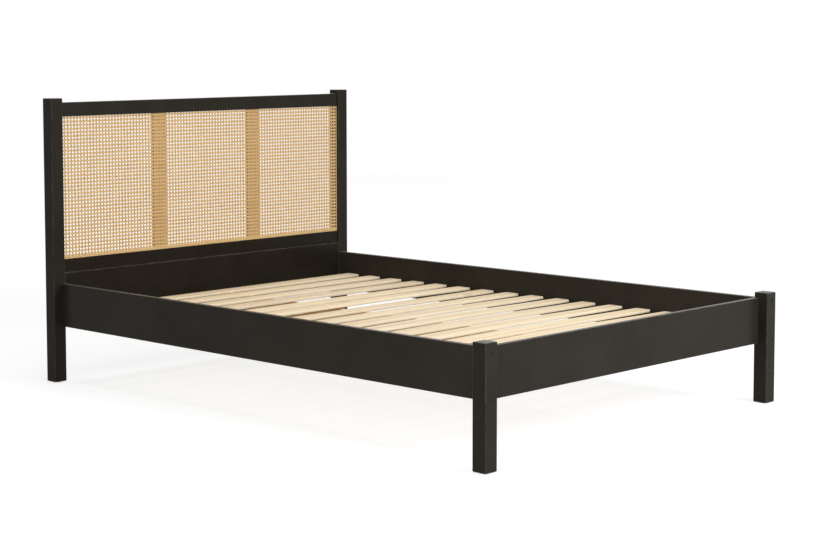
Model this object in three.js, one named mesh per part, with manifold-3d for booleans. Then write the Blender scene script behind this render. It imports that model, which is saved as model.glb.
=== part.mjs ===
// Slatted double bed with a cane headboard, in millimetres.
// The floor is z = 0, the headboard stands at +Y, and the origin is the middle of the footprint.
// Left and right are as seen from the foot, looking towards the headboard: left is -X.

import * as THREE from "three";
import { mergeVertices } from "three/addons/utils/BufferGeometryUtils.js";
import Module from "manifold-3d";

// Mattress and its well
const mattressWidth = 1400;
const mattressLength = 2000;
const mattressPlay = 10; // room between the mattress and each rail
const wellDepth = 85; // slat tops below the rails' top edges

// Posts, square in section
const postSize = 52;
const footPostHeight = 383;
const headPostHeight = 1045;
const postEase = 2; // chamfer on the posts' edges

// Rails of the bed frame, flush with the posts' inner faces
const railHeight = 158;
const railThickness = 19;
const railDrop = 18; // top edges below the foot posts' tops
const boardEase = 1.5; // chamfer on every board's edges

// Headboard, all setbacks measured behind the posts' front faces
const headPanelHeight = 196;
const headPanelSetback = 2;
const crossRailSetback = 7;
const crossRailDepth = 30;
const topRailHeight = 52;
const topRailDrop = 16; // below the head posts' tops
const lowerRailHeight = 50;
const strutWidth = 62;
const strutThickness = 18;
const strutSpacing = 490; // between the two struts' centre lines
const strutTenonLength = 12;

// Cane panel and the splines that wedge its edges in their grooves
const caneSetback = 3; // behind the cross rails' front faces
const caneThickness = 2.4;
const caneEdge = 7; // held in the groove all round
const caneColumns = 28;
const caneRows = 10;
const caneStrand = 15; // cane left between two gaps of the net
const splineThickness = 3;

// Slats and what carries them
const slatCount = 16;
const slatWidth = 62;
const slatThickness = 10.5;
const slatEndPlay = 3;
const ledgerWidth = 22;
const ledgerHeight = 32;
const ledgerEndGap = 25;
const beamWidth = 22;
const beamHeight = 58;
const bracketSheet = 2.5;
const bracketReach = 36;
const bracketHeight = 44;
const bracketFlange = 14;

// Mortise and tenon joints
const fit = 0.3; // clearance between pieces that touch
const tenonLength = 34;
const tenonThickness = 9;
const tenonHeight = 34; // of each of the two tenons on a deep rail's end
const tenonInset = 3; // from a deep rail's top and bottom edges
const tenonShoulder = 1.5; // inside a deep rail's outer face
const crossTenonShoulder = 8; // above and below a cross rail's tenon

// Hook plates that hang the side rails on the posts
const plateMargin = 3; // wood left on each side of a plate
const plateGap = 7; // between a plate and the tenons above and below it
const plateThickness = 2;
const hookThickness = 3;
const hookHeight = 16;
const hookReach = 5; // behind the strike plate
const hookDrop = 5; // how far a hook hangs below its slot's lower edge

// Screws through the foot posts that lock the foot rail's tenons, and their caps
const screwInset = 11; // from the foot rail's top and bottom edges
const capRadius = 7.5;
const capThickness = 2;
const capRecess = 0.4;
const screwHeadRadius = 7;
const screwHeadDepth = 3.5;
const screwShankRadius = 3;
const screwTip = 1; // tenon left past the screw's end

// Glides under the posts
const glideRadius = 19;
const glideThickness = 2;
const glideRim = 1;
const nailRadius = 2.5;
const nailLength = 18;

const cutPast = 1; // how far cutters and tenons run past a face, so that no skin is left
const roundSides = 16; // facets on small round pieces
const glideSides = 24;

// Places that follow from the sizes
const halfWidth = mattressWidth / 2 + mattressPlay;
const halfLength = mattressLength / 2 + mattressPlay;
const postX = halfWidth + postSize / 2;
const postY = halfLength + postSize / 2;
const postBase = glideThickness + fit;
const railTop = footPostHeight - railDrop;
const railBottom = railTop - railHeight;
const slatTop = railTop - wellDepth;
const slatBottom = slatTop - slatThickness;
const headPanelTop = railBottom + headPanelHeight;
const openingBottom = headPanelTop + fit + lowerRailHeight;
const openingTop = headPostHeight - topRailDrop - topRailHeight;
const topRailTop = openingTop + topRailHeight;
const crossRailFront = halfLength + crossRailSetback;
const caneFront = crossRailFront + caneSetback;
const caneBack = caneFront + caneThickness;
const strutFront = caneBack + fit;
const grooveY = [caneFront - fit, caneBack + splineThickness + 2 * fit];
const grooveDepth = caneEdge + fit;
const plateWidth = railThickness - 2 * plateMargin;
const plateHeight = railHeight - 2 * (tenonInset + tenonHeight + plateGap);
const plateZ = (railTop + railBottom) / 2;
const hookSpacing = plateHeight / 2;

const blackLacquer = { color: 0x34322f, roughness: 0.42, metalness: 0 };
const palePine = { color: 0xe9d9b5, roughness: 0.68, metalness: 0 };
const naturalCane = { color: 0xcdb488, roughness: 0.6, metalness: 0 };
const strutWood = { color: 0xc49a62, roughness: 0.62, metalness: 0 };
const zincSteel = { color: 0xa9abad, roughness: 0.4, metalness: 0.9 };
const blackPlastic = { color: 0x1c1b1a, roughness: 0.5, metalness: 0 };

const wasm = await Module();
wasm.setup();

// A box that fills three spans, each a low and a high value.
function block({ x, y, z }) {
  const size = [x, y, z].map(([low, high]) => high - low);
  return new THREE.BoxGeometry(...size).translate(...[x, y, z].map(([low, high]) => (low + high) / 2));
}

// The same spans made larger on every side: a mortise for a tenon, or a recess for a plate.
function grown({ x, y, z }, by) {
  const wider = ([low, high]) => [low - by, high + by];
  return { x: wider(x), y: wider(y), z: wider(z) };
}

// A span mirrored to the side given by its sign.
function toward(sign, near, far) {
  return sign > 0 ? [near, far] : [-far, -near];
}

// A box of the given size centred on the z axis and standing on z = 0, with all its edges chamfered.
function easedBlock(width, depth, height, ease) {
  const x = width / 2 - ease;
  const y = depth / 2 - ease;
  const corner = ease * (Math.SQRT2 - 1);
  const outline = new THREE.Shape([
    new THREE.Vector2(x - corner, -y),
    new THREE.Vector2(x, corner - y),
    new THREE.Vector2(x, y - corner),
    new THREE.Vector2(x - corner, y),
    new THREE.Vector2(corner - x, y),
    new THREE.Vector2(-x, y - corner),
    new THREE.Vector2(-x, corner - y),
    new THREE.Vector2(corner - x, -y),
  ]);
  const chamfered = new THREE.ExtrudeGeometry(outline, {
    depth: height - 2 * ease,
    bevelThickness: ease,
    bevelSize: ease,
    bevelSegments: 1,
  });
  return chamfered.translate(0, 0, ease);
}

// A closed mesh as a solid that can be cut and joined.
function solidOf(geometry) {
  const bare = new THREE.BufferGeometry();
  bare.setAttribute("position", geometry.getAttribute("position"));
  bare.setIndex(geometry.getIndex());
  const merged = mergeVertices(bare);
  const vertProperties = merged.getAttribute("position").array;
  const triVerts = new Uint32Array(merged.getIndex().array);
  return new wasm.Manifold(new wasm.Mesh({ numProp: 3, vertProperties, triVerts }));
}

function geometryOf(solid) {
  const { vertProperties, triVerts } = solid.getMesh();
  const geometry = new THREE.BufferGeometry();
  geometry.setAttribute("position", new THREE.BufferAttribute(vertProperties, 3));
  geometry.setIndex(new THREE.BufferAttribute(triVerts, 1));
  geometry.computeVertexNormals();
  return geometry;
}

// A geometry with some joined to it and others cut from it.
function worked(geometry, { joined = [], cut = [] }) {
  let solid = solidOf(geometry);
  for (const addition of joined) solid = solid.add(solidOf(addition));
  for (const cutter of cut) solid = solid.subtract(solidOf(cutter));
  return geometryOf(solid);
}

function piece(name, geometry, finish) {
  const mesh = new THREE.Mesh(geometry, new THREE.MeshStandardMaterial(finish));
  mesh.name = name;
  return mesh;
}

// A round solid about its own Y axis, from points of radius and height that start and end on the axis.
function turned(points, sides) {
  return new THREE.LatheGeometry(
    points.map(([radius, height]) => new THREE.Vector2(radius, height)),
    sides,
  );
}

// Spans of the two tenons on a deep rail's end, in the bed's frame.
// The rail's end meets the post at x = halfWidth, and its outer face is at outerY, facing away from the bed.
function deepRailTenons(side, outerY, outward, top) {
  const inner = outerY - outward * tenonShoulder;
  const y = [inner, inner - outward * tenonThickness].sort((a, b) => a - b);
  const x = toward(side, halfWidth - cutPast, halfWidth + tenonLength);
  return [
    { x, y, z: [railBottom + tenonInset, railBottom + tenonInset + tenonHeight] },
    { x, y, z: [top - tenonInset - tenonHeight, top - tenonInset] },
  ];
}

// Spans of the single tenon on a cross rail's end.
function crossRailTenon(side, bottom, top) {
  const middle = crossRailFront + crossRailDepth / 2;
  return {
    x: toward(side, halfWidth - cutPast, halfWidth + tenonLength),
    y: [middle - tenonThickness / 2, middle + tenonThickness / 2],
    z: [bottom + crossTenonShoulder, top - crossTenonShoulder],
  };
}

// Spans of a strut's tenon in the cross rail above it or below it.
function strutTenon(side, edge, upward) {
  const middleX = (side * strutSpacing) / 2;
  const middleY = strutFront + strutThickness / 2;
  const reach = [edge - upward * cutPast, edge + upward * strutTenonLength];
  return {
    x: [middleX - strutWidth / 2 + crossTenonShoulder, middleX + strutWidth / 2 - crossTenonShoulder],
    y: [middleY - tenonThickness / 2, middleY + tenonThickness / 2],
    z: reach.sort((a, b) => a - b),
  };
}

const footRailOuterY = -(halfLength + railThickness);
const headPanelFront = halfLength + headPanelSetback;
const headPanelBack = headPanelFront + railThickness;
const footTenons = (side) => deepRailTenons(side, footRailOuterY, -1, railTop);
const panelTenons = (side) => deepRailTenons(side, headPanelBack, 1, headPanelTop);
const topTenon = (side) => crossRailTenon(side, openingTop, topRailTop);
const lowerTenon = (side) => crossRailTenon(side, openingBottom - lowerRailHeight, openingBottom);

// Hook plate: a steel strip let into a side rail's end, its hooks pointing along +X.
// The origin is on the strip's outer face, at its middle.
function hookPlateGeometry() {
  const strip = block({
    x: [-plateThickness, 0],
    y: [-plateWidth / 2, plateWidth / 2],
    z: [-plateHeight / 2, plateHeight / 2],
  });
  const behindStrike = 2 * fit + plateThickness;
  const hooks = [-1, 1].flatMap((level) => {
    const middle = (level * hookSpacing) / 2;
    const y = [-hookThickness / 2, hookThickness / 2];
    const top = middle + hookHeight / 2;
    const bottom = middle - hookHeight / 2;
    return [
      block({ x: [-plateThickness / 2, behindStrike + fit + hookReach / 2], y, z: [bottom, top] }),
      block({ x: [behindStrike + fit, behindStrike + hookReach], y, z: [bottom - hookDrop, top] }),
    ];
  });
  return worked(strip, { joined: hooks });
}

// Strike plate: let flush into a post's face, with a slot for each hook. +X points into the post.
// The origin is where the hook plate's is, so one place serves for both.
function strikePlateGeometry() {
  const strip = block({
    x: [2 * fit, 2 * fit + plateThickness],
    y: [-plateWidth / 2, plateWidth / 2],
    z: [-plateHeight / 2, plateHeight / 2],
  });
  const slots = [-1, 1].map((level) => {
    const middle = (level * hookSpacing) / 2;
    const half = hookThickness / 2 + fit;
    return block({
      x: [0, 2 * fit + plateThickness + cutPast],
      y: [-half, half],
      z: [middle - hookHeight / 2 - fit, middle + hookHeight / 2 + fit + hookDrop],
    });
  });
  return worked(strip, { cut: slots });
}

// What a post loses for a strike plate and for the hooks behind it, in the plates' own axes.
function strikeRecess() {
  const deep = 3 * fit + plateThickness;
  const high = plateHeight / 2 + fit;
  const half = hookThickness / 2 + 2 * fit;
  const reach = (hookSpacing + hookHeight) / 2 + hookDrop;
  return [
    block({ x: [-cutPast, deep], y: [-plateWidth / 2 - fit, plateWidth / 2 + fit], z: [-high, high] }),
    block({ x: [0, deep + hookReach], y: [-half, half], z: [-reach - fit, reach + fit] }),
  ];
}

// Where a side rail hooks onto a post: the rail's end face, in the middle of its thickness.
function seatOfHooks(side, end) {
  const place = new THREE.Vector3(
    side * (halfWidth + railThickness / 2),
    end * (halfLength - fit),
    plateZ,
  );
  return new THREE.Matrix4().makeRotationZ((end * Math.PI) / 2).setPosition(place);
}

function seated(mesh, matrix) {
  mesh.applyMatrix4(matrix);
  return mesh;
}

// Glide: a nylon disc with a nail that runs up into the post, about the Z axis.
function glideGeometry() {
  const profile = [
    [0, 0],
    [glideRadius - glideRim, 0],
    [glideRadius, glideRim],
    [glideRadius, glideThickness],
    [nailRadius, glideThickness],
    [nailRadius, glideThickness + nailLength - nailRadius],
    [0, glideThickness + nailLength],
  ];
  return turned(profile, glideSides).rotateX(Math.PI / 2);
}

// Screw holes and their caps sit on the post's centre line, at two levels.
const screwLevels = { lower: railBottom + screwInset, upper: railTop - screwInset };
const footPostOuterY = -(halfLength + postSize);
const capOuterY = footPostOuterY + capRecess;
const screwHeadY = capOuterY + capThickness + fit;
const screwEndY = footRailOuterY + tenonShoulder + tenonThickness - screwTip;

// The screw and the hole that takes it: the same turned form, the hole grown by the clearance.
function screwGeometry(clearance) {
  const shankStart = screwHeadDepth + clearance;
  const end = screwEndY - screwHeadY + clearance;
  const profile = [
    [0, -clearance],
    [screwHeadRadius + clearance, -clearance],
    [screwHeadRadius + clearance, shankStart],
    [screwShankRadius + clearance, shankStart],
    [screwShankRadius + clearance, end],
    [0, end],
  ];
  return turned(profile, roundSides);
}

// The cap and its counterbore, which opens at the post's outer face.
function capGeometry(clearance) {
  const start = clearance ? -cutPast : 0;
  const profile = [
    [0, start],
    [capRadius + clearance, start],
    [capRadius + clearance, capThickness + clearance],
    [0, capThickness + clearance],
  ];
  return turned(profile, roundSides);
}

function screwHole(x, level) {
  return [
    screwGeometry(fit).translate(x, screwHeadY, level),
    capGeometry(fit).translate(x, capOuterY, level),
  ];
}

// A post stands on its glide at the bed's corner, with the given cuts made in the bed's frame.
function post(name, side, end, height, cuts) {
  const nailHole = block({
    x: [-nailRadius - fit, nailRadius + fit],
    y: [-nailRadius - fit, nailRadius + fit],
    z: [0, glideThickness + nailLength + fit],
  });
  const hooks = strikeRecess().map((cutter) => cutter.applyMatrix4(seatOfHooks(side, end)));
  const inPost = [...cuts, ...hooks].map((cutter) => cutter.translate(-side * postX, -end * postY, 0));
  const body = easedBlock(postSize, postSize, height - postBase, postEase).translate(0, 0, postBase);
  const mesh = piece(name, worked(body, { cut: [nailHole, ...inPost] }), blackLacquer);
  mesh.position.set(side * postX, end * postY, 0);
  return mesh;
}

function footPost(name, side) {
  const mortises = footTenons(side).map((tenon) => block(grown(tenon, fit)));
  const holes = Object.values(screwLevels).flatMap((level) => screwHole(side * postX, level));
  return post(name, side, -1, footPostHeight, [...mortises, ...holes]);
}

function headPost(name, side) {
  const tenons = [...panelTenons(side), lowerTenon(side), topTenon(side)];
  const mortises = tenons.map((tenon) => block(grown(tenon, fit)));
  const groove = block({
    x: toward(side, halfWidth - cutPast, halfWidth + grooveDepth),
    y: grooveY,
    z: [openingBottom - grooveDepth, openingTop + grooveDepth],
  });
  return post(name, side, 1, headPostHeight, [...mortises, groove]);
}

// A board lying along X, eased on its edges, with its lower edge at z = 0.
function board(length, thickness, height) {
  return easedBlock(height, thickness, length, boardEase)
    .translate(height / 2, 0, -length / 2)
    .rotateY(-Math.PI / 2);
}

// A rail that runs along X between two posts, its joints given as spans in the bed's frame.
function crossRail(name, { y, z }, tenons, cuts) {
  const middle = (y[0] + y[1]) / 2;
  const local = (geometry) => geometry.translate(0, -middle, -z[0]);
  const body = board(2 * (halfWidth - fit), y[1] - y[0], z[1] - z[0]);
  const joined = tenons.map((tenon) => local(block(tenon)));
  const mesh = piece(name, worked(body, { joined, cut: cuts.map(local) }), blackLacquer);
  mesh.position.set(0, middle, z[0]);
  return mesh;
}

const bothSides = (make) => [-1, 1].flatMap(make);
const sideName = (side) => (side < 0 ? "left" : "right");
const endName = (end) => (end < 0 ? "foot" : "head");

function footRail() {
  const spans = { y: [footRailOuterY, -halfLength], z: [railBottom, railTop] };
  const holes = bothSides((side) =>
    Object.values(screwLevels).map((level) => screwGeometry(fit).translate(side * postX, screwHeadY, level)),
  );
  return crossRail("foot_rail", spans, bothSides(footTenons), holes);
}

function headPanel() {
  const spans = { y: [headPanelFront, headPanelBack], z: [railBottom, headPanelTop] };
  return crossRail("head_panel", spans, bothSides(panelTenons), []);
}

// The groove for the cane along a headboard rail's inner edge, open towards the cane.
function caneGroove(edge, upward) {
  const z = [edge - upward * cutPast, edge + upward * grooveDepth].sort((a, b) => a - b);
  return block({ x: [-halfWidth, halfWidth], y: grooveY, z });
}

function headboardRail(name, z, edge, upward, tenon) {
  const spans = { y: [crossRailFront, crossRailFront + crossRailDepth], z };
  const mortises = [-1, 1].map((side) => block(grown(strutTenon(side, edge, upward), fit)));
  return crossRail(name, spans, [tenon(-1), tenon(1)], [caneGroove(edge, upward), ...mortises]);
}

// A strut stands behind the cane, with a tenon in the rail above and in the rail below.
function strut(side) {
  const height = openingTop - openingBottom - 2 * fit;
  const middleX = (side * strutSpacing) / 2;
  const middleY = strutFront + strutThickness / 2;
  const tenons = [strutTenon(side, openingBottom, -1), strutTenon(side, openingTop, 1)].map((tenon) =>
    block(tenon).translate(-middleX, -middleY, -openingBottom - fit),
  );
  const body = easedBlock(strutWidth, strutThickness, height, boardEase);
  const mesh = piece("cane_strut_" + sideName(side), worked(body, { joined: tenons }), strutWood);
  mesh.position.set(middleX, middleY, openingBottom + fit);
  return mesh;
}

// The cane as a flat net: a sheet with a grid of square gaps, its edges held in the grooves.
function canePanel() {
  const height = openingTop - openingBottom;
  const pitchX = (2 * halfWidth) / caneColumns;
  const pitchZ = height / caneRows;
  const sheet = block({
    x: [-halfWidth - caneEdge, halfWidth + caneEdge],
    y: [0, caneThickness],
    z: [-caneEdge, height + caneEdge],
  });
  const between = (index, pitch) => [index * pitch + caneStrand / 2, (index + 1) * pitch - caneStrand / 2];
  const gaps = [];
  for (let column = 0; column < caneColumns; column++) {
    for (let row = 0; row < caneRows; row++) {
      const x = between(column, pitchX).map((along) => along - halfWidth);
      gaps.push(block({ x, y: [-cutPast, caneThickness + cutPast], z: between(row, pitchZ) }));
    }
  }
  const mesh = piece("cane_panel", worked(sheet, { cut: gaps }), naturalCane);
  mesh.position.set(0, caneFront, openingBottom);
  return mesh;
}

// The splines lie behind the cane in the grooves, flush with the wood.
function splines() {
  const y = [caneBack + fit, caneBack + fit + splineThickness];
  const x = [fit - halfWidth, halfWidth - fit];
  const z = [openingBottom, openingTop];
  const upright = (side) => block({ x: toward(side, halfWidth, halfWidth + caneEdge), y, z });
  return [
    piece("cane_spline_top", block({ x, y, z: [openingTop, openingTop + caneEdge] }), naturalCane),
    piece("cane_spline_bottom", block({ x, y, z: [openingBottom - caneEdge, openingBottom] }), naturalCane),
    piece("cane_spline_left", upright(-1), naturalCane),
    piece("cane_spline_right", upright(1), naturalCane),
  ];
}

// A side rail with its ledger. In the group the rail lies along X and +Y points to the middle of the bed.
function sideRail(side) {
  const group = new THREE.Group();
  const length = 2 * (halfLength - fit);
  const recesses = [-1, 1].map((end) =>
    block({
      x: toward(end, length / 2 - plateThickness - fit, length / 2 + cutPast),
      y: [-plateWidth / 2 - fit, plateWidth / 2 + fit],
      z: [plateZ - railBottom - plateHeight / 2 - fit, plateZ - railBottom + plateHeight / 2 + fit],
    }),
  );
  const body = worked(board(length, railThickness, railHeight), { cut: recesses });
  const rail = piece("side_rail_" + sideName(side), body, blackLacquer);
  rail.position.set(0, railThickness / 2, railBottom);
  const batten = board(2 * (halfLength - ledgerEndGap), ledgerWidth, ledgerHeight);
  const ledger = piece("slat_ledger_" + sideName(side), batten, blackLacquer);
  ledger.position.set(0, railThickness + fit + ledgerWidth / 2, slatBottom - fit - ledgerHeight);
  group.add(rail, ledger);
  group.position.set(side * (halfWidth + railThickness), 0, 0);
  group.rotation.z = (side * Math.PI) / 2;
  return group;
}

// Hook plates and strike plates at the four corners.
function railHooks() {
  return bothSides((side) =>
    [-1, 1].flatMap((end) => {
      const corner = endName(end) + "_" + sideName(side);
      const seat = seatOfHooks(side, end);
      return [
        seated(piece("hook_plate_" + corner, hookPlateGeometry(), zincSteel), seat),
        seated(piece("strike_plate_" + corner, strikePlateGeometry(), zincSteel), seat),
      ];
    }),
  );
}

function lockScrews() {
  return bothSides((side) =>
    Object.entries(screwLevels).flatMap(([level, z]) => {
      const place = sideName(side) + "_" + level;
      const screw = piece("lock_screw_" + place, screwGeometry(0), zincSteel);
      const cap = piece("screw_cap_" + place, capGeometry(0), blackPlastic);
      screw.position.set(side * postX, screwHeadY, z);
      cap.position.set(side * postX, capOuterY, z);
      return [screw, cap];
    }),
  );
}

function glides() {
  return bothSides((side) =>
    [-1, 1].map((end) => {
      const glide = piece("glide_" + endName(end) + "_" + sideName(side), glideGeometry(), blackPlastic);
      glide.position.set(side * postX, end * postY, 0);
      return glide;
    }),
  );
}

// Slats are evenly spaced, with the same gap between them as at the two ends.
function slats() {
  const gap = (2 * halfLength - slatCount * slatWidth) / (slatCount + 1);
  return Array.from({ length: slatCount }, (_, index) => {
    const number = String(index + 1).padStart(2, "0");
    const body = board(2 * (halfWidth - slatEndPlay), slatWidth, slatThickness);
    const slat = piece("slat_" + number, body, palePine);
    slat.position.set(0, gap + slatWidth / 2 + index * (gap + slatWidth) - halfLength, slatBottom);
    return slat;
  });
}

// Beam bracket: a steel U that holds the beam's end, on a back plate screwed to the rail.
// The origin is on the rail's face under the beam's middle, and +Y points along the beam.
function beamBracketGeometry() {
  const inside = beamWidth / 2 + fit;
  const outside = inside + bracketSheet;
  const bottom = -fit - bracketSheet;
  const channel = new THREE.Shape([
    new THREE.Vector2(-outside, bottom),
    new THREE.Vector2(outside, bottom),
    new THREE.Vector2(outside, bottom + bracketHeight),
    new THREE.Vector2(inside, bottom + bracketHeight),
    new THREE.Vector2(inside, -fit),
    new THREE.Vector2(-inside, -fit),
    new THREE.Vector2(-inside, bottom + bracketHeight),
    new THREE.Vector2(-outside, bottom + bracketHeight),
  ]);
  const arms = new THREE.ExtrudeGeometry(channel, { depth: bracketReach, bevelEnabled: false });
  const back = block({
    x: [-outside - bracketFlange, outside + bracketFlange],
    y: [fit, fit + bracketSheet],
    z: [bottom, bottom + bracketHeight],
  });
  const standing = arms.rotateX(Math.PI / 2).translate(0, fit + bracketReach, 0);
  return worked(back, { joined: [standing] });
}

function centreBeam() {
  const bottom = slatBottom - fit - beamHeight;
  const start = -halfLength + bracketSheet + 2 * fit;
  const stop = headPanelFront - bracketSheet - 2 * fit;
  const beam = piece("centre_beam", board(stop - start, beamWidth, beamHeight), strutWood);
  beam.position.set(0, (start + stop) / 2, bottom);
  beam.rotation.z = Math.PI / 2;
  const atFoot = piece("beam_bracket_foot", beamBracketGeometry(), zincSteel);
  atFoot.position.set(0, -halfLength, bottom);
  const atHead = piece("beam_bracket_head", beamBracketGeometry(), zincSteel);
  atHead.position.set(0, headPanelFront, bottom);
  atHead.rotation.z = Math.PI;
  return [beam, atFoot, atHead];
}

function headboard() {
  const group = new THREE.Group();
  const lowerBottom = openingBottom - lowerRailHeight;
  group.add(
    headPost("head_post_left", -1),
    headPost("head_post_right", 1),
    headboardRail("headboard_top_rail", [openingTop, topRailTop], openingTop, 1, topTenon),
    headboardRail("headboard_lower_rail", [lowerBottom, openingBottom], openingBottom, -1, lowerTenon),
    headPanel(),
    canePanel(),
    ...splines(),
    strut(-1),
    strut(1),
  );
  return group;
}

function footEnd() {
  const group = new THREE.Group();
  group.add(footPost("foot_post_left", -1), footPost("foot_post_right", 1), footRail(), ...lockScrews());
  return group;
}

const bed = new THREE.Group();
bed.add(headboard(), footEnd(), sideRail(-1), sideRail(1));
bed.add(...railHooks(), ...centreBeam(), ...slats(), ...glides());

export default bed;
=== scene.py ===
# Slatted double bed with a woven cane headboard.
# Metres: the floor is z = 0, the headboard stands at +Y, and left is -X, as seen from the foot.

import math
from types import SimpleNamespace

import bmesh
import bpy
from mathutils import Euler, Matrix, Vector


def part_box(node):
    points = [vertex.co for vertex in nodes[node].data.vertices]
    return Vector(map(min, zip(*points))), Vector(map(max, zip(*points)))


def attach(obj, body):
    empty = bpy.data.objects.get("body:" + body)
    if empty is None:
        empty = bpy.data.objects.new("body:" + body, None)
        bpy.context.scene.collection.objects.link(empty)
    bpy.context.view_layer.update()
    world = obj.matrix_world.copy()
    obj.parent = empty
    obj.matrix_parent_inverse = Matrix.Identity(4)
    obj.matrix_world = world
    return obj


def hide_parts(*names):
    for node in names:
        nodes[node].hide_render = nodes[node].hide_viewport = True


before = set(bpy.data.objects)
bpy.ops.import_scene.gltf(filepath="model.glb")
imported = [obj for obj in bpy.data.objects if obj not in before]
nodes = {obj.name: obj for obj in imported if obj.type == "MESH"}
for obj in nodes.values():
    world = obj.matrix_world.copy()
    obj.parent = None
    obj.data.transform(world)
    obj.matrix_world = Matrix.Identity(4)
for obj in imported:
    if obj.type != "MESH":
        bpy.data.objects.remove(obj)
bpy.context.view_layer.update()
mm = 0.001


# picking, starting and applying, used for every piece

pointsAlong = 0.9  # share along an axis, from which a direction counts as following it


def pickOnly(piece):
    bpy.ops.object.select_all(action="DESELECT")
    piece.select_set(True)
    bpy.context.view_layer.objects.active = piece


def openMesh(piece, mode):
    pickOnly(piece)
    bpy.ops.object.mode_set(mode="EDIT")
    bpy.ops.mesh.select_mode(type=mode)
    bpy.ops.mesh.select_all(action="DESELECT")


def closeMesh():
    bpy.ops.object.mode_set(mode="OBJECT")


def pickFrom(parts, wanted):
    bpy.ops.mesh.select_all(action="DESELECT")
    for part in parts:
        part.select_set(wanted(part))


def pickEdges(piece, wanted):
    shape = bmesh.from_edit_mesh(piece.data)
    pickFrom(shape.edges, wanted)
    bmesh.update_edit_mesh(piece.data)


def pickFaces(piece, wanted):
    shape = bmesh.from_edit_mesh(piece.data)
    pickFrom(shape.faces, wanted)
    bmesh.update_edit_mesh(piece.data)


def pickCorners(piece, wanted):
    shape = bmesh.from_edit_mesh(piece.data)
    pickFrom(shape.verts, wanted)
    shape.select_flush_mode()
    bmesh.update_edit_mesh(piece.data)


def cutAcross(where):
    bpy.ops.mesh.select_all(action="SELECT")
    bpy.ops.mesh.bisect(plane_co=(where, 0, 0), plane_no=(1, 0, 0))


def applyPlace(piece):
    pickOnly(piece)
    bpy.ops.object.transform_apply(location=True, rotation=True, scale=True)


def applyModifiers(piece):
    pickOnly(piece)
    for modifier in list(piece.modifiers):
        bpy.ops.object.modifier_apply(modifier=modifier.name)


def startBox(name, low, high):
    low, high = Vector(low), Vector(high)
    bpy.ops.object.select_all(action="DESELECT")
    bpy.ops.mesh.primitive_cube_add(size=1, location=(low + high) / 2, scale=high - low)
    piece = bpy.context.object
    piece.name = piece.data.name = name
    applyPlace(piece)
    return piece


def freshCopy(piece, name):
    other = piece.copy()
    other.data = piece.data.copy()
    other.name = other.data.name = name
    bpy.context.collection.objects.link(other)
    return other


def smoothFaces(piece, angle=35):
    pickOnly(piece)
    bpy.ops.object.shade_smooth_by_angle(angle=math.radians(angle))


def evenNormals(piece):
    modifier = piece.modifiers.new("flat faces stay flat", "WEIGHTED_NORMAL")
    modifier.keep_sharp = True
    modifier.weight = 100
    applyModifiers(piece)


def placeOnBed(piece, finish, slotName, *replaced):
    piece.data.materials.clear()
    piece.data.materials.append(finish)
    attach(piece, "root")
    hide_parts(*replaced)


camera = {
    "place": (-4.7761, -4.4951, 1.2484),
    "heading": 44.227,  # degrees from the bed's length towards +X
    "down": 4.641,
    "roll": -0.273,
    "lens": 81.32,
    "shiftX": 0.1146,
    "shiftY": -0.10,
    "clipEnd": 200,
}


def makeCamera():
    level = Euler((math.radians(90 - camera["down"]), 0, math.radians(-camera["heading"])))
    turn = (level.to_matrix() @ Matrix.Rotation(math.radians(camera["roll"]), 3, "Z")).to_euler()
    bpy.ops.object.camera_add(location=camera["place"], rotation=turn)
    eye = bpy.context.object
    eye.data.lens = camera["lens"]
    eye.data.shift_x = camera["shiftX"]
    eye.data.shift_y = camera["shiftY"]
    eye.data.clip_end = camera["clipEnd"]
    bpy.context.scene.camera = eye
    print("camera placed")


# short ways to add and join shader nodes

def newFinish(name):
    finish = bpy.data.materials.new(name)
    finish.use_nodes = True
    tree = finish.node_tree
    return finish, tree, tree.nodes["Principled BSDF"]


def setInputs(tree, made, inputs):
    for key, value in inputs.items():
        if isinstance(value, bpy.types.NodeSocket):
            tree.links.new(value, made.inputs[key])
        else:
            made.inputs[key].default_value = value


def node(tree, kind, inputs=None, **settings):
    made = tree.nodes.new("ShaderNode" + kind)
    for key, value in settings.items():
        setattr(made, key, value)
    setInputs(tree, made, inputs or {})
    return made


def calc(tree, operation, first, second=0.0):
    return node(tree, "Math", {0: first, 1: second}, operation=operation).outputs[0]


def vectorCalc(tree, operation, first, second):
    return node(tree, "VectorMath", {0: first, 1: second}, operation=operation).outputs[0]


def span(tree, value, fromRange, toRange=(0.0, 1.0)):
    inputs = {"Value": value, "From Min": fromRange[0], "From Max": fromRange[1],
              "To Min": toRange[0], "To Max": toRange[1]}
    return node(tree, "MapRange", inputs).outputs["Result"]


def blendColours(tree, factor, first, second):
    # the mix node has sockets for every kind of value: 6, 7 and the output 2 are its colours
    return node(tree, "Mix", {0: factor, 6: first, 7: second}, data_type="RGBA").outputs[2]


def bump(tree, height, strength, depth):
    inputs = {"Height": height, "Strength": strength, "Distance": depth}
    return node(tree, "Bump", inputs).outputs[0]


def marked(tree, attribute):
    return node(tree, "Attribute", attribute_name=attribute).outputs["Fac"]


def objectPlace(tree):
    return node(tree, "TexCoord").outputs["Object"]


def turned(tree, place, rotation):
    return node(tree, "Mapping", {"Vector": place, "Rotation": rotation}).outputs[0]


def stretched(tree, place, lengthwise, across):
    scale = (lengthwise, across, across)
    return node(tree, "Mapping", {"Vector": place, "Scale": scale}).outputs[0]


def noise(tree, place, scale, detail, roughness=0.5, output="Fac"):
    inputs = {"Vector": place, "Scale": scale, "Detail": detail, "Roughness": roughness}
    return node(tree, "TexNoise", inputs).outputs[output]


def grainNoise(tree, place, lengthwise, across, detail, roughness=0.5, output="Fac"):
    drawn = stretched(tree, place, lengthwise, across)
    return noise(tree, drawn, 1.0, detail, roughness, output)


def rgb(red, green, blue):
    return (red, green, blue, 1.0)


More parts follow.
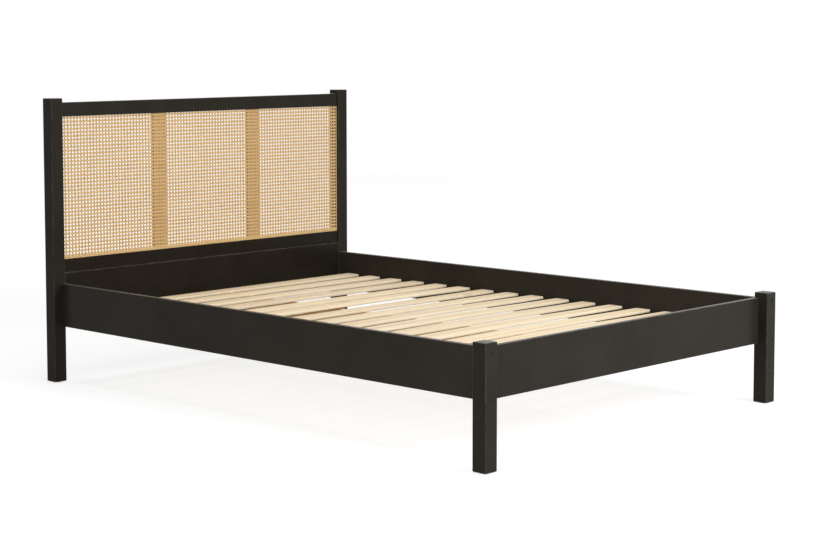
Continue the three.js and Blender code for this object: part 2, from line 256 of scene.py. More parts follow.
grainTurns = {"x": (0, 0, 0), "y": (0, 0, math.radians(90)), "z": (0, math.radians(90), 0)}


# In the finishes, a pattern is its scale (or its scales along and across the grain), its detail
# and its roughness. Two ranges in a row are a pattern's own and the one that it becomes. A range
# alone becomes 0 to 1.

lacquer = {
    "deep": rgb(0.0215, 0.0182, 0.0137),
    "thin": rgb(0.0285, 0.0242, 0.0184),
    "worn": rgb(0.0850, 0.0740, 0.0600),
    "clouds": (5.0, 4.0),
    "cloudTone": ((0.35, 0.65), (0, 0.7)),
    "pores": (14, 420, 3.0, 0.6),
    "poreTone": ((0.3, 0.7), (0, 0.3)),
    "patches": (26.0, 6.0, 0.7),  # where the lacquer is worn off the arrises
    "patchWear": ((0.42, 0.68), (0.12, 0.9)),
    "roughness": ((0.3, 0.7), (0.24, 0.32)),
    "poreRoughness": ((0.35, 0.75), (-0.03, 0.05)),
    "specular": 0.05,
    "sheen": 0.24,
    "sheenRoughness": 0.22,
    "peel": (340.0, 2.0),
    "poreRelief": 0.6,
    "peelRelief": 0.4,
    "bump": (0.16, 0.4 * mm),  # strength and depth
}
# painted light and shade: the side rails get a lighter copy of the lacquer, as painted light, and
# the headboard's lower rail and panel a darker copy, as painted shade
sideLacquerPaintedLight = dict(lacquer, deep=rgb(0.0282, 0.0240, 0.0184), thin=rgb(0.0370, 0.0316, 0.0245))
headLacquerPaintedShade = dict(lacquer, deep=rgb(0.0150, 0.0120, 0.0082), thin=rgb(0.0195, 0.0160, 0.0112))


def lacquerFinish(name, paint, along):
    finish, tree, shader = newFinish(name)
    place = turned(tree, objectPlace(tree), grainTurns[along])
    clouds = noise(tree, place, *paint["clouds"])
    pores = grainNoise(tree, place, *paint["pores"])
    peel = noise(tree, place, *paint["peel"])
    patches = noise(tree, place, *paint["patches"])
    tone = calc(tree, "ADD", span(tree, clouds, *paint["cloudTone"]),
                span(tree, pores, *paint["poreTone"]))
    base = blendColours(tree, tone, paint["deep"], paint["thin"])
    wear = calc(tree, "MULTIPLY", marked(tree, "edgeWear"),
                span(tree, patches, *paint["patchWear"]))
    relief = calc(tree, "ADD", calc(tree, "MULTIPLY", pores, paint["poreRelief"]),
                  calc(tree, "MULTIPLY", peel, paint["peelRelief"]))
    setInputs(tree, shader, {
        "Base Color": blendColours(tree, wear, base, paint["worn"]),
        "Roughness": calc(tree, "ADD", span(tree, clouds, *paint["roughness"]),
                          span(tree, pores, *paint["poreRoughness"])),
        "Specular IOR Level": paint["specular"],
        "Sheen Weight": paint["sheen"],
        "Sheen Roughness": paint["sheenRoughness"],
        "Normal": bump(tree, relief, *paint["bump"]),
    })
    return finish


grain = {
    "boardShift": (7.0, 3.0, 5.0),  # the furthest that chance moves the pattern of a board
    "boardTint": ((0, 1), (0.93, 1.05)),
    "wander": (1.1, 9, 2.0),
    "wanderBy": (0.0, 0.030, 0.030),
    "ringStretch": (0.02, 1),
    "ringDistortion": 1.6,
    "ringDetail": 3.0,
    "ringDetailScale": 1.2,
    "ringDark": ((0.55, 1.0), (0.0, 0.42)),
    "streaks": (1.6, 62, 3.0),
    "streakRange": (0.34, 0.68),
    "fibres": (9, 520, 4.0, 0.62),
    "fibreDark": ((0.52, 0.78), (0.0, 0.30)),
    "roughRange": (0.3, 0.75),  # of the fibres, which becomes each wood's own roughness
    "knotStretch": (2.2, 7),
    "knotSize": (0.035, 0.085),
    "paleEndFade": 3 * mm,
    "paleEnd": 0.7,  # how far the ends, the long sides and an arris go towards their colour: the long sides' paleness is painted light
    "sawnSide": 0.35,
    "arris": 0.12,
    "specular": 0.35,
    "fibreRelief": 0.7,
    "ringRelief": 0.5,
    "bump": (0.35, 0.5 * mm),
}
pine = {
    "pale": rgb(0.860, 0.725, 0.510),
    "warm": rgb(0.770, 0.605, 0.390),
    "late": rgb(0.560, 0.390, 0.220),
    "knot": rgb(0.230, 0.120, 0.050),
    "paleEndAndPaintedLightSide": rgb(0.980, 0.890, 0.720),
    "roughness": (0.50, 0.66),
    "ringScale": 7.5,  # a growth ring every 42 mm
    "knotStrength": 0.35,
}
strutWood = {
    "pale": rgb(0.500, 0.300, 0.135),
    "warm": rgb(0.410, 0.235, 0.098),
    "late": rgb(0.270, 0.140, 0.054),
    "knot": rgb(0.130, 0.064, 0.026),
    "paleEndAndPaintedLightSide": rgb(0.700, 0.500, 0.290),
    "roughness": (0.48, 0.64),
    "ringScale": 9.5,  # a growth ring every 33 mm
    "knotStrength": 0.5,
    "boardPitch": 0.4,  # width of the strip that shares one board's pattern
    "paleEndFrom": 2.0,  # along the grain from the origin to where the ends turn paler: past the struts' ends
}
beamWood = dict(strutWood, pale=rgb(0.900, 0.600, 0.290), warm=rgb(0.820, 0.490, 0.200),
                late=rgb(0.560, 0.290, 0.100), boardPitch=0.31, paleEndFrom=1.0)


def growthRings(tree, own, wood):
    # long bands that wander slowly along the board
    wander = grainNoise(tree, own, *grain["wander"], output="Color")
    sway = vectorCalc(tree, "MULTIPLY", wander, grain["wanderBy"])
    swayed = vectorCalc(tree, "ADD", own, sway)
    inputs = {"Vector": stretched(tree, swayed, *grain["ringStretch"]), "Scale": wood["ringScale"],
              "Distortion": grain["ringDistortion"], "Detail": grain["ringDetail"],
              "Detail Scale": grain["ringDetailScale"]}
    rings = node(tree, "TexWave", inputs, wave_type="BANDS", bands_direction="Y",
                 wave_profile="SAW").outputs["Fac"]
    return span(tree, rings, *grain["ringDark"])


def smallKnots(tree, own, wood):
    # a few, longer than they are wide
    inputs = {"Vector": stretched(tree, own, *grain["knotStretch"]), "Scale": 1.0,
              "Randomness": 1.0}
    spots = node(tree, "TexVoronoi", inputs).outputs["Distance"]
    return span(tree, spots, grain["knotSize"], (wood["knotStrength"], 0.0))


def woodFinish(name, wood, along):
    finish, tree, shader = newFinish(name)
    place = turned(tree, objectPlace(tree), grainTurns[along])
    parts = node(tree, "SeparateXYZ", {0: place}).outputs
    # chance gives every board its own stretch of the pattern and its own tint
    boardNumber = calc(tree, "FLOOR", calc(tree, "DIVIDE", parts["Y"], wood["boardPitch"]))
    chance = node(tree, "TexWhiteNoise", {"W": boardNumber}, noise_dimensions="1D").outputs
    shift = vectorCalc(tree, "MULTIPLY", chance["Color"], grain["boardShift"])
    own = vectorCalc(tree, "ADD", place, shift)
    rings, knots = growthRings(tree, own, wood), smallKnots(tree, own, wood)
    fibres = grainNoise(tree, own, *grain["fibres"])
    streaks = grainNoise(tree, own, *grain["streaks"])
    # the planed faces
    colour = blendColours(tree, span(tree, streaks, grain["streakRange"]),
                          wood["pale"], wood["warm"])
    colour = blendColours(tree, rings, colour, wood["late"])
    colour = blendColours(tree, span(tree, fibres, *grain["fibreDark"]), colour, wood["late"])
    colour = blendColours(tree, knots, colour, wood["knot"])
    tint = span(tree, chance["Value"], *grain["boardTint"])
    colour = node(tree, "HueSaturation", {"Color": colour, "Value": tint}).outputs["Color"]
    # paler towards each end; the long sides paler as painted light; the arrises darker
    fromMiddle = calc(tree, "ABSOLUTE", parts["X"])
    endRange = (wood["paleEndFrom"], wood["paleEndFrom"] + grain["paleEndFade"])
    paleEnd = span(tree, fromMiddle, endRange, (0.0, grain["paleEnd"]))
    colour = blendColours(tree, paleEnd, colour, wood["paleEndAndPaintedLightSide"])
    sawnSide = calc(tree, "MULTIPLY", marked(tree, "sawnSide"), grain["sawnSide"])
    colour = blendColours(tree, sawnSide, colour, wood["paleEndAndPaintedLightSide"])
    arris = calc(tree, "MULTIPLY", marked(tree, "edgeWear"), grain["arris"])
    relief = calc(tree, "SUBTRACT", calc(tree, "MULTIPLY", fibres, grain["fibreRelief"]),
                  calc(tree, "MULTIPLY", rings, grain["ringRelief"]))
    setInputs(tree, shader, {
        "Base Color": blendColours(tree, arris, colour, wood["late"]),
        "Roughness": span(tree, fibres, grain["roughRange"], wood["roughness"]),
        "Specular IOR Level": grain["specular"],
        "Normal": bump(tree, relief, *grain["bump"]),
    })
    return finish


caneLook = {
    "pale": rgb(0.765, 0.535, 0.255),
    "honey": rgb(0.650, 0.408, 0.165),
    "dark": rgb(0.380, 0.195, 0.070),
    "streaks": (3.5, 330, 2.0),
    "streakRange": (0.36, 0.64),
    "spots": (40, 260, 5.0, 0.65),
    "spotDark": ((0.60, 0.80), (0, 0.55)),
    "fibres": (70, 2600, 2.0),
    "fibreDark": ((0.55, 0.80), (0, 0.22)),
    "roughness": ((0.3, 0.7), (0.34, 0.52)),
    "specular": 0.4,
    "bump": (0.25, 0.2 * mm),
}


def caneFinish(name, lean, tone=1.0):
    finish, tree, shader = newFinish(name)
    place = turned(tree, objectPlace(tree), (0, lean, 0))
    streaks = grainNoise(tree, place, *caneLook["streaks"])
    fibres = grainNoise(tree, place, *caneLook["fibres"])
    spots = grainNoise(tree, place, *caneLook["spots"])
    colour = blendColours(tree, span(tree, streaks, caneLook["streakRange"]),
                          caneLook["pale"], caneLook["honey"])
    for pattern, strength in ((spots, "spotDark"), (fibres, "fibreDark")):
        factor = span(tree, pattern, *caneLook[strength])
        colour = blendColours(tree, factor, colour, caneLook["dark"])
    # painted light and shade: tone brightens or darkens this kind of strand's cane colour
    colour = node(tree, "HueSaturation", {"Color": colour, "Value": tone}).outputs["Color"]
    setInputs(tree, shader, {
        "Base Color": colour,
        "Roughness": span(tree, fibres, *caneLook["roughness"]),
        "Specular IOR Level": caneLook["specular"],
        "Normal": bump(tree, fibres, *caneLook["bump"]),
    })
    return finish


zinc = {
    "dull": rgb(0.34, 0.345, 0.35),
    "bright": rgb(0.56, 0.565, 0.57),
    "flakeScale": 260.0,
    "clouds": (60.0, 5.0),
    "flakeShare": 0.5,
    "cloudShare": 0.5,
    "roughness": ((0.3, 0.7), (0.30, 0.46)),
    "metallic": 0.9,
    "bump": (0.1, 0.2 * mm),
}


def zincFinish():
    finish, tree, shader = newFinish("zincSteel")
    place = objectPlace(tree)
    inputs = {"Vector": place, "Scale": zinc["flakeScale"]}
    flakes = node(tree, "TexVoronoi", inputs).outputs["Color"]
    value = node(tree, "SeparateColor", {0: flakes}).outputs["Red"]
    clouds = noise(tree, place, *zinc["clouds"])
    tone = calc(tree, "ADD", calc(tree, "MULTIPLY", value, zinc["flakeShare"]),
                calc(tree, "MULTIPLY", clouds, zinc["cloudShare"]))
    setInputs(tree, shader, {
        "Base Color": blendColours(tree, tone, zinc["dull"], zinc["bright"]),
        "Roughness": span(tree, clouds, *zinc["roughness"]),
        "Metallic": zinc["metallic"],
        "Normal": bump(tree, clouds, *zinc["bump"]),
    })
    return finish


plastic = {
    "deep": rgb(0.005, 0.005, 0.005),
    "pale": rgb(0.010, 0.0097, 0.0093),
    "grit": (1900.0, 2.0),
    "clouds": (90.0, 4.0),
    "roughness": ((0.3, 0.7), (0.42, 0.58)),
    "specular": 0.15,
    "bump": (0.2, 0.1 * mm),
}


def plasticFinish():
    finish, tree, shader = newFinish("blackPlastic")
    place = objectPlace(tree)
    grit = noise(tree, place, *plastic["grit"])
    clouds = noise(tree, place, *plastic["clouds"])
    setInputs(tree, shader, {
        "Base Color": blendColours(tree, clouds, plastic["deep"], plastic["pale"]),
        "Roughness": span(tree, clouds, *plastic["roughness"]),
        "Specular IOR Level": plastic["specular"],
        "Normal": bump(tree, grit, *plastic["bump"]),
    })
    return finish


# where the finishes find arrises, and the slats' long sides that get painted light

marks = {
    "flatFrom": 0.9995,  # a face whose normal is less along one axis is part of an arris
    "paintedLightGain": 1.2,  # lets the rounded edge of a long side take nearly as much painted light as its face
}


def markWear(piece):
    wear = piece.data.attributes.new("edgeWear", "FLOAT", "CORNER")
    for face in piece.data.polygons:
        slanted = max(abs(part) for part in face.normal) < marks["flatFrom"]
        for loop in face.loop_indices:
            wear.data[loop].value = 1.0 if slanted else 0.0


# painted light: marks the slats' long sides, which the wood finish paints paler
def markPaintedLightSides(piece):
    side = piece.data.attributes.new("sawnSide", "FLOAT", "CORNER")
    for face in piece.data.polygons:
        for loop in face.loop_indices:
            side.data[loop].value = min(1.0, abs(face.normal.y) * marks["paintedLightGain"])


def finishBoard(piece):
    markWear(piece)
    smoothFaces(piece)
    evenNormals(piece)


# the frame's black boards keep the CAD model's joints and get rounded arrises

blackBoards = {
    "postChamfer": 2.0 * mm,
    "boardChamfer": 1.5 * mm,
    "rounding": 0.42,  # share of the chamfer taken by the rounding of each of its two edges
    "steps": 2,
    "sharpFrom": 20,  # degrees between the faces of an edge that is rounded
    "flatWithin": 0.5,  # degrees between the triangles that make one flat face
    "mergeWithin": 0.01 * mm,
    "slack": 0.05 * mm,
}


def nearArris(corner, low, high, reach):
    sides = sum(min(corner[i] - low[i], high[i] - corner[i]) < reach for i in range(3))
    return sides >= 2


def roundedCopy(nodeName, pieceName, chamfer):
    low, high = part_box(nodeName)
    piece = bpy.data.objects.new(pieceName, nodes[nodeName].data.copy())
    piece.data.name = pieceName
    bpy.context.collection.objects.link(piece)
    openMesh(piece, "EDGE")
    bpy.ops.mesh.select_all(action="SELECT")
    bpy.ops.mesh.remove_doubles(threshold=blackBoards["mergeWithin"])
    bpy.ops.mesh.dissolve_limited(angle_limit=math.radians(blackBoards["flatWithin"]))
    bpy.ops.mesh.customdata_custom_splitnormals_clear()
    reach = chamfer + blackBoards["slack"]
    sharp = math.radians(blackBoards["sharpFrom"])
    pickEdges(piece, lambda edge: len(edge.link_faces) == 2 and edge.calc_face_angle() > sharp
              and all(nearArris(v.co, low, high, reach) for v in edge.verts))
    bpy.ops.mesh.bevel(offset=chamfer * blackBoards["rounding"], segments=blackBoards["steps"],
                       affect="EDGES", clamp_overlap=True)
    closeMesh()
    finishBoard(piece)
    return piece


def makeBlackBoards():
    finishes = {along: lacquerFinish("blackLacquer_" + along, lacquer, along) for along in "xyz"}
    # the side rails' lighter lacquer is painted light, the headboard's darker lacquer painted shade
    finishes["side"] = lacquerFinish("blackLacquer_side", sideLacquerPaintedLight, "y")
    finishes["head"] = lacquerFinish("blackLacquer_head", headLacquerPaintedShade, "x")
    boards = [
        ("head_post_left", "headPostLeft", "z"), ("head_post_right", "headPostRight", "z"),
        ("foot_post_left", "footPostLeft", "z"), ("foot_post_right", "footPostRight", "z"),
        ("headboard_top_rail", "topRail", "x"), ("headboard_lower_rail", "lowerRail", "head"),
        ("head_panel", "headPanel", "head"), ("foot_rail", "footRail", "x"),
        ("side_rail_left", "sideRailLeft", "side"), ("side_rail_right", "sideRailRight", "side"),
    ]
    for nodeName, pieceName, batch in boards:
        chamfer = blackBoards["postChamfer" if "post" in nodeName else "boardChamfer"]
        piece = roundedCopy(nodeName, pieceName, chamfer)
        placeOnBed(piece, finishes[batch], "black_lacquer", nodeName)
    print("black boards:", len(boards))


# one slat, copied, each copy with its own slight bow

slats = {
    "count": 16,
    "cornerRadius": 5.0 * mm,
    "edgeRadius": 3.3 * mm,
    "steps": 3,
    "sharpFrom": 60,  # degrees between the faces of an edge that is rounded
    "bowSteps": 10,
    "paleEnd": 8 * mm,
    # rise of each slat's middle in mm, from the foot: new slats are never quite straight
    "bows": [0.5, 0.6, 0.7, 0.8, 0.9, 1.2, 1.4, 2.2, 0.9, 0.3, 4.6, 0.6, 2.8, 1.6, 0.8, 0.0],
    # the same for the far edge alone, where a slat has also twisted a little
    "twists": [0.5, 1.0, 6.4, 4.4, 4.4, 4.0, 4.0, 2.2, 0.0, 0.0, 0.0, 0.0, 0.0, 0.0, 0.0, 0.0],
}


def isUpright(edge):
    return abs((edge.verts[0].co - edge.verts[1].co).normalized().z) > pointsAlong


def makeSlat():
    low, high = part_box("slat_01")
    slat = startBox("slat01", low, high)
    openMesh(slat, "EDGE")
    pickEdges(slat, isUpright)
    bpy.ops.mesh.bevel(offset=slats["cornerRadius"], segments=slats["steps"], affect="EDGES")
    sharp = math.radians(slats["sharpFrom"])
    pickEdges(slat, lambda edge: edge.calc_face_angle() > sharp)
    bpy.ops.mesh.bevel(offset=slats["edgeRadius"], segments=slats["steps"], affect="EDGES")
    for step in range(1, slats["bowSteps"]):
        cutAcross(low.x + (high.x - low.x) * step / slats["bowSteps"])
    closeMesh()
    markPaintedLightSides(slat)
    finishBoard(slat)
    return slat


def bowSlat(slat, rise, twist, low, high):
    for vertex in slat.data.vertices:
        swell = 1 - (vertex.co.x / high.x) ** 2
        fromNearEdge = (vertex.co.y - low.y) / (high.y - low.y)
        vertex.co.z += rise * swell + twist * fromNearEdge * swell ** 2


def makeSlats():
    first = makeSlat()
    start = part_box("slat_01")[0].y
    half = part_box("slat_01")[1].x
    wood = dict(pine, boardPitch=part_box("slat_02")[0].y - start, paleEndFrom=half - slats["paleEnd"])
    finish = woodFinish("paleSlatPine", wood, "x")
    copies = [freshCopy(first, "slat%02d" % (i + 1)) for i in range(1, slats["count"])]
    for index, slat in enumerate([first] + copies):
        nodeName = "slat_%02d" % (index + 1)
        slat.location.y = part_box(nodeName)[0].y - start
        applyPlace(slat)
        rise, twist = slats["bows"][index] * mm, slats["twists"][index] * mm
        bowSlat(slat, rise, twist, *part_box(nodeName))
        placeOnBed(slat, finish, "pine", nodeName)
    print("slats:", slats["count"])


battens = {"edgeRadius": 1.8 * mm, "steps": 3}


def makeBattens():
    black = bpy.data.materials["blackLacquer_y"]
    brown = woodFinish("brownBeamWood", beamWood, "y")
    wanted = [("slat_ledger_left", "ledgerLeft", black, "black_lacquer"),
              ("slat_ledger_right", "ledgerRight", black, "black_lacquer"),
              ("centre_beam", "centreBeam", brown, "strut_wood")]
    for nodeName, pieceName, finish, slotName in wanted:
        batten = startBox(pieceName, *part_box(nodeName))
        openMesh(batten, "EDGE")
        bpy.ops.mesh.select_all(action="SELECT")
        bpy.ops.mesh.bevel(offset=battens["edgeRadius"], segments=battens["steps"], affect="EDGES")
        closeMesh()
        finishBoard(batten)
        placeOnBed(batten, finish, slotName, nodeName)
    print("ledgers and beam made")


def makeStruts():
    finish = woodFinish("naturalStrutWood", strutWood, "z")
    for side in ("left", "right"):
        nodeName = "cane_strut_" + side
        pieceName = "caneStrut" + side.capitalize()
        piece = roundedCopy(nodeName, pieceName, blackBoards["boardChamfer"])
        placeOnBed(piece, finish, "strut_wood", nodeName)
    print("struts made")


# woven cane: upright pairs, crosswise pairs and two slanting strands in every cell

cane = {
    "openingLeft": -0.710,  # the inner face of the left head post
    "columns": 97,  # holes across the opening
    "rowPitch": 13.31 * mm,
    "firstHole": 12.4 * mm,  # from the opening's top to the first row of holes
    "spareColumns": 3,  # these and the spare rows reach past the panel and are trimmed off
    "spareRows": 2,
    "strandWidth": 2.72 * mm,
    "uprightWidth": 2.45 * mm,
    "crown": 0.62,  # width of a strand's flat face against its whole width
    "strandThick": 0.70 * mm,
    "pairSpacing": 2.75 * mm,  # between the middles of a pair's two strands
    "uprightSpacing": 2.48 * mm,
    "flatSlack": 0.3 * mm,  # added to the flat stretch where a strand meets the other pair
    "dipSlack": 0.1 * mm,  # added to an upright's half width, where a crosswise strand dips
    "dipInside": 0.55,  # share of a crosswise strand's dip on the knot's side of an upright
    "slantFlat": 1.12,  # a slanting strand meets the bars at an angle, so it stays flat for longer
    "selvedgeStrands": 3,  # close together, just above the lower rail
    "selvedgeStart": 1.7 * mm,
    "selvedgePitch": 2.4 * mm,
    "drift": 0.55 * mm,  # how far the weaver's hand strays, and over what distance
    "driftSize": 22 * mm,
    "pickWithin": 0.01 * mm,
    "mergeWithin": 0.02 * mm,
    "smoothAngle": 40,
}
# the lean of each strand's grain, and a brightness factor on its cane: painted shade darkens the
# uprights most, and painted light brightens the crosswise strands
caneKinds = {
    "caneUpright": (math.pi / 2, 0.80),
    "caneCross": (0.0, 1.08),
    "caneSelvedge": (0.0, 1.0),
    "caneSlantRising": (0.74, 0.95),
    "caneSlantFalling": (-0.74, 0.95),
}


def strandCell(name, length, stations, width):
    # one cell of a strand, lying along +X: a flat crowned band that rises and dips at the stations
    wide, thick = width / 2, cane["strandThick"] / 2
    piece = startBox(name, (0, -thick, -wide), (length, thick, wide))
    openMesh(piece, "FACE")
    pickFaces(piece, lambda face: abs(face.normal.x) > pointsAlong)
    bpy.ops.mesh.delete(type="FACE")
    bpy.ops.mesh.select_mode(type="VERT")
    pickCorners(piece, lambda corner: corner.co.y < 0)
    bpy.ops.transform.resize(value=(1, 1, cane["crown"]))
    for where, _ in stations:
        cutAcross(where)
    ends = [(0, stations[0][1]), (length, stations[0][1])]
    for where, depth in stations + ends:
        pickCorners(piece, lambda corner: abs(corner.co.x - where) < cane["pickWithin"])
        bpy.ops.transform.translate(value=(0, depth, 0))
    closeMesh()
    return piece


def repeat(piece, count, step, joined):
    modifier = piece.modifiers.new("repeat", "ARRAY")
    modifier.use_relative_offset = False
    modifier.use_constant_offset = True
    modifier.constant_offset_displace = step
    modifier.count = count
    modifier.use_merge_vertices = joined
    modifier.merge_threshold = cane["mergeWithin"]
    applyModifiers(piece)


def layStrands(cell, angle, place, lengthwise, sideways):
    # cells joined end to end make a strand, and copies of the strand make the layer
    cell.rotation_euler = (0, angle, 0)
    cell.location = place
    applyPlace(cell)
    repeat(cell, *lengthwise, True)
    repeat(cell, *sideways, False)
    return cell


def trimCane(piece, low, high):
    openMesh(piece, "VERT")
    for place, outward in (((low.x, 0, 0), (-1, 0, 0)), ((high.x, 0, 0), (1, 0, 0)),
                           ((0, 0, low.z), (0, 0, -1)), ((0, 0, high.z), (0, 0, 1))):
        bpy.ops.mesh.select_all(action="SELECT")
        bpy.ops.mesh.bisect(plane_co=place, plane_no=outward, clear_outer=True, use_fill=True)
    closeMesh()


def driftCane(piece, texture):
    modifier = piece.modifiers.new("hand of the weaver", "DISPLACE")
    modifier.texture = texture
    modifier.texture_coords = "LOCAL"
    modifier.direction = "RGB_TO_XYZ"
    modifier.strength = cane["drift"]
    modifier.mid_level = 0.5
    applyModifiers(piece)


def caneMeasures():
    # what all the layers of strands share
    low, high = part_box("cane_panel")
    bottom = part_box("headboard_lower_rail")[1].z
    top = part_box("headboard_top_rail")[0].z
    rowPitch = cane["rowPitch"]
    columnPitch = -2 * cane["openingLeft"] / cane["columns"]
    rowsDown = math.ceil((high.z - low.z) / rowPitch)
    startX = cane["openingLeft"] - columnPitch
    over = cane["strandWidth"] / 2 + cane["pairSpacing"] / 2
    return SimpleNamespace(
        depth=(low.y + high.y) / 2,
        bottom=bottom,
        rowPitch=rowPitch,
        columnPitch=columnPitch,
        rows=rowsDown + cane["spareRows"],
        columns=cane["columns"] + cane["spareColumns"],
        startX=startX,
        crosswiseX=startX - columnPitch / 2,
        bottomHole=top - cane["firstHole"] - rowsDown * rowPitch,
        over=over,  # half the width of a crosswise pair
        flat=over + cane["flatSlack"],
        reach=cane["uprightWidth"] / 2 + cane["dipSlack"],  # half the width of a dip
    )


def uprightStrands(weave):
    # they start at the middle of a crosswise pair, and their knot is halfway up
    knot, thick = weave.rowPitch / 2, cane["strandThick"]
    upwards = (weave.rows, (0, 0, weave.rowPitch))
    sideways = (weave.columns, (weave.columnPitch, 0, 0))
    uprights = (("caneUprightBack", -1, thick / 2), ("caneUprightFront", 1, -thick / 2))
    for name, side, dip in uprights:
        stations = [(weave.flat, 0), (knot - weave.over, dip), (knot + weave.over, dip),
                    (weave.rowPitch - weave.flat, 0)]
        cell = strandCell(name, weave.rowPitch, stations, cane["uprightWidth"])
        startX = weave.startX + side * cane["uprightSpacing"] / 2
        place = (startX, weave.depth, weave.bottomHole)
        yield layStrands(cell, -math.pi / 2, place, upwards, sideways)


def crosswiseStrands(weave):
    # over the back upright and under the front one at every knot
    knot, thick = weave.columnPitch / 2, cane["strandThick"]
    back, front = knot - cane["uprightSpacing"] / 2, knot + cane["uprightSpacing"] / 2
    inside = weave.reach * cane["dipInside"]
    stations = [(weave.flat, 0), (back - weave.reach, -thick / 2), (back + inside, -thick / 2),
                (front - inside, thick / 2), (front + weave.reach, thick / 2),
                (weave.columnPitch - weave.flat, 0)]
    sideways = (weave.columns + 1, (weave.columnPitch, 0, 0))
    # in two bands of rows, which keeps each piece's mesh light
    rowsBelow = (weave.rows + 1) // 2
    bands = (("Foot", 0, rowsBelow), ("Top", rowsBelow, weave.rows + 1 - rowsBelow))
    for name, side in (("caneCrossLower", -1), ("caneCrossUpper", 1)):
        for band, firstRow, count in bands:
            cell = strandCell(name + band, weave.columnPitch, stations, cane["strandWidth"])
            startZ = (weave.bottomHole + (firstRow - 0.5) * weave.rowPitch
                      + side * cane["pairSpacing"] / 2)
            place = (weave.crosswiseX, weave.depth, startZ)
            yield layStrands(cell, 0, place, sideways, (count, (0, 0, weave.rowPitch)))


def selvedgeStrands(weave):
    # the closed edge of the webbing, above the lower rail
    knot, thick = weave.columnPitch / 2, cane["strandThick"]
    stations = [(weave.flat, 0), (knot - weave.reach, -thick), (knot + weave.reach, -thick),
                (weave.columnPitch - weave.flat, 0)]
    cell = strandCell("caneSelvedge", weave.columnPitch, stations, cane["strandWidth"])
    place = (weave.crosswiseX, weave.depth, weave.bottom + cane["selvedgeStart"])
    sideways = (weave.columns + 1, (weave.columnPitch, 0, 0))
    yield layStrands(cell, 0, place, sideways,
                     (cane["selvedgeStrands"], (0, 0, cane["selvedgePitch"])))


def slantingStrands(weave):
    # they cross on the middles of the bars and close the holes' corners
    slope = math.atan2(weave.rowPitch, weave.columnPitch)
    length = math.hypot(weave.rowPitch, weave.columnPitch)
    flat, thick = weave.over * cane["slantFlat"], cane["strandThick"]
    startX = weave.startX - weave.rows * weave.columnPitch
    sideways = (weave.columns + weave.rows + cane["spareRows"], (weave.columnPitch, 0, 0))
    for name, rise, lift in (("caneSlantRising", 1, thick), ("caneSlantFalling", -1, -thick)):
        stations = [(flat, lift), (length / 2 - flat, -lift), (length / 2 + flat, -lift),
                    (length - flat, lift)]
        cell = strandCell(name, length, stations, cane["strandWidth"])
        startZ = weave.bottomHole if rise > 0 else weave.bottomHole + weave.rows * weave.rowPitch
        slanting = (weave.rows, (weave.columnPitch, 0, rise * weave.rowPitch))
        yield layStrands(cell, -rise * slope, (startX, weave.depth, startZ), slanting, sideways)


def weaveCane():
    low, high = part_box("cane_panel")
    texture = bpy.data.textures.new("caneDrift", "CLOUDS")
    texture.noise_scale = cane["driftSize"]
    texture.cloud_type = "COLOR"
    finishes = {kind: caneFinish(kind + "Cane", *look) for kind, look in caneKinds.items()}
    weave = caneMeasures()
    for layer in (uprightStrands, crosswiseStrands, selvedgeStrands, slantingStrands):
        for strand in layer(weave):
            trimCane(strand, low, high)
            driftCane(strand, texture)
            smoothFaces(strand, cane["smoothAngle"])
            finish = next(finishes[kind] for kind in caneKinds if strand.name.startswith(kind))
            placeOnBed(strand, finish, "cane", "cane_panel")
            print(strand.name, len(strand.data.polygons), "faces")


caps = {
    "sides": 32,
    "edgeRadius": 0.6 * mm,
    "steps": 3,
    "rim": 1.6 * mm,
    "hollow": 0.25 * mm,
    "faceFrom": 0.99,  # share of a normal along the cap's axis on its flat outer face
}


def makeCap(nodeName, pieceName):
    low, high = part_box(nodeName)
    middle, size = (low + high) / 2, high - low
    bpy.ops.object.select_all(action="DESELECT")
    bpy.ops.mesh.primitive_cylinder_add(vertices=caps["sides"], radius=size.z / 2, depth=size.y,
                                        location=middle, rotation=(math.pi / 2, 0, 0))
    cap = bpy.context.object
    cap.name = cap.data.name = pieceName
    applyPlace(cap)
    openMesh(cap, "FACE")
    pickFaces(cap, lambda face: face.normal.y < -pointsAlong)
    bpy.ops.mesh.bevel(offset=caps["edgeRadius"], segments=caps["steps"], affect="EDGES")
    pickFaces(cap, lambda face: face.normal.y < -caps["faceFrom"])
    bpy.ops.mesh.inset(thickness=caps["rim"])
    bpy.ops.transform.translate(value=(0, caps["hollow"], 0))
    closeMesh()
    smoothFaces(cap)
    return cap


def makeCaps(finish):
    for side in ("left", "right"):
        for level in ("lower", "upper"):
            nodeName = "screw_cap_%s_%s" % (side, level)
            cap = makeCap(nodeName, "screwCap%s%s" % (side.capitalize(), level.capitalize()))
            placeOnBed(cap, finish, "black_plastic", nodeName)
    print("screw caps made")


# the hidden hardware keeps its CAD shapes

def makeHardware():
    blackPlastic, zincSteel = plasticFinish(), zincFinish()
    splineCane = caneFinish("splineCane", 0.0)
    makeCaps(blackPlastic)
    for name, part in nodes.items():
        finish = None
        if name.startswith(("hook_plate", "strike_plate", "lock_screw", "beam_bracket")):
            finish = zincSteel
        elif name.startswith("glide"):
            finish = blackPlastic
        elif name.startswith("cane_spline"):
            finish = splineCane
        if finish:
            for materialSlot in part.material_slots:
                materialSlot.material = finish
    print("hardware finished")


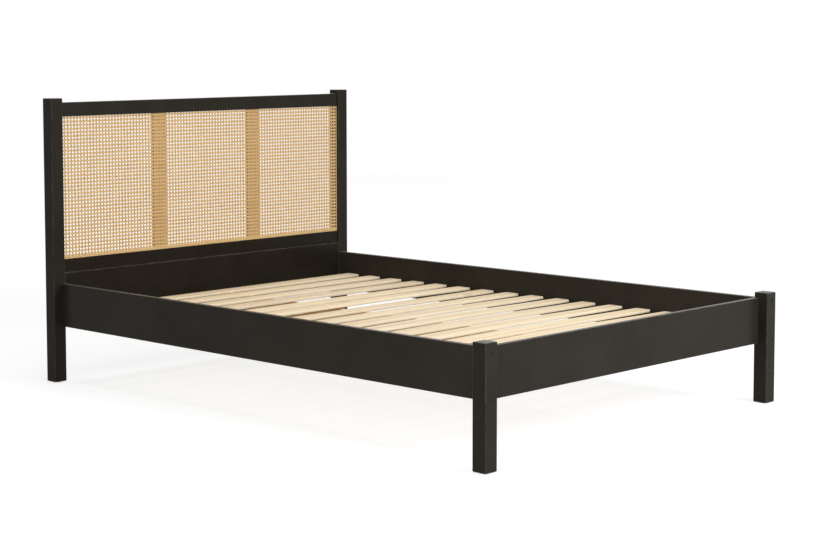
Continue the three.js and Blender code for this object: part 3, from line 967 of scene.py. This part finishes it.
room = {
    "floorSize": 16,
    "floorColour": rgb(0.45, 0.45, 0.45),
    "floorClouds": (3.0, 2.0),
    "floorRoughness": ((0.3, 0.7), (0.8, 0.9)),
    "floorSpecular": 0.0,
    "floorLift": 0.70,  # light that the floor adds for the camera beside the bed, and far from it
    "farLift": 0.86,
    "liftFrom": 2.6,
    "liftTo": 5.0,
    "strength": 0.26,
    "lamps": [
        {"name": "frontLamp", "place": (0.6, -3.9, 1.8), "aim": (0.0, -0.5, 0.3),
         "size": 2.0, "power": 104},
        {"name": "sideLamp", "place": (-2.9, -2.3, 1.2), "aim": (-0.5, -0.9, 0.3),
         "size": 1.4, "power": 33},
        {"name": "topLamp", "place": (0.0, 0.0, 4.6), "aim": (0.0, -0.2, 0.0),
         "size": 4.2, "power": 124},
    ],
}


def seenDirectly(tree):
    path = node(tree, "LightPath").outputs
    both = calc(tree, "MAXIMUM", path["Is Camera Ray"], path["Is Glossy Ray"])
    return calc(tree, "MAXIMUM", both, path["Is Transmission Ray"])


def makeFloor():
    bpy.ops.object.select_all(action="DESELECT")
    bpy.ops.mesh.primitive_plane_add(size=room["floorSize"], location=(0, 0, 0))
    floor = bpy.context.object
    floor.name = "studioFloor"
    applyPlace(floor)
    finish, tree, shader = newFinish("studioFloor")
    place = objectPlace(tree)
    clouds = noise(tree, place, *room["floorClouds"])
    away = node(tree, "VectorMath", {0: place}, operation="LENGTH").outputs["Value"]
    lift = span(tree, away, (room["liftFrom"], room["liftTo"]),
                (room["floorLift"], room["farLift"]))
    setInputs(tree, shader, {
        "Base Color": room["floorColour"],
        "Roughness": span(tree, clouds, *room["floorRoughness"]),
        "Specular IOR Level": room["floorSpecular"],
        "Emission Color": rgb(1, 1, 1),
        "Emission Strength": calc(tree, "MULTIPLY", seenDirectly(tree), lift),
    })
    floor.data.materials.append(finish)
    print("floor laid")


def makeLamp(name, place, aim, size, power):
    towards = Vector(aim) - Vector(place)
    bpy.ops.object.select_all(action="DESELECT")
    bpy.ops.object.light_add(type="AREA", location=place,
                             rotation=towards.to_track_quat("-Z", "Y").to_euler())
    light = bpy.context.object
    light.name = name
    light.data.shape = "SQUARE"
    light.data.size = size
    light.data.energy = power
    light.visible_camera = False


def makeRoom():
    world = bpy.data.worlds.new("studioRoom")
    bpy.context.scene.world = world
    world.use_nodes = True
    tree = world.node_tree
    strength = span(tree, seenDirectly(tree), (0, 1), (room["strength"], 1.0))
    setInputs(tree, tree.nodes["Background"], {"Color": rgb(1, 1, 1), "Strength": strength})
    for lamp in room["lamps"]:
        makeLamp(**lamp)
    bpy.context.scene.view_settings.view_transform = "Standard"
    print("room lit")


makeCamera()
makeRoom()
makeFloor()
makeBlackBoards()
makeSlats()
makeBattens()
makeStruts()
weaveCane()
makeHardware()

bpy.context.view_layer.update()
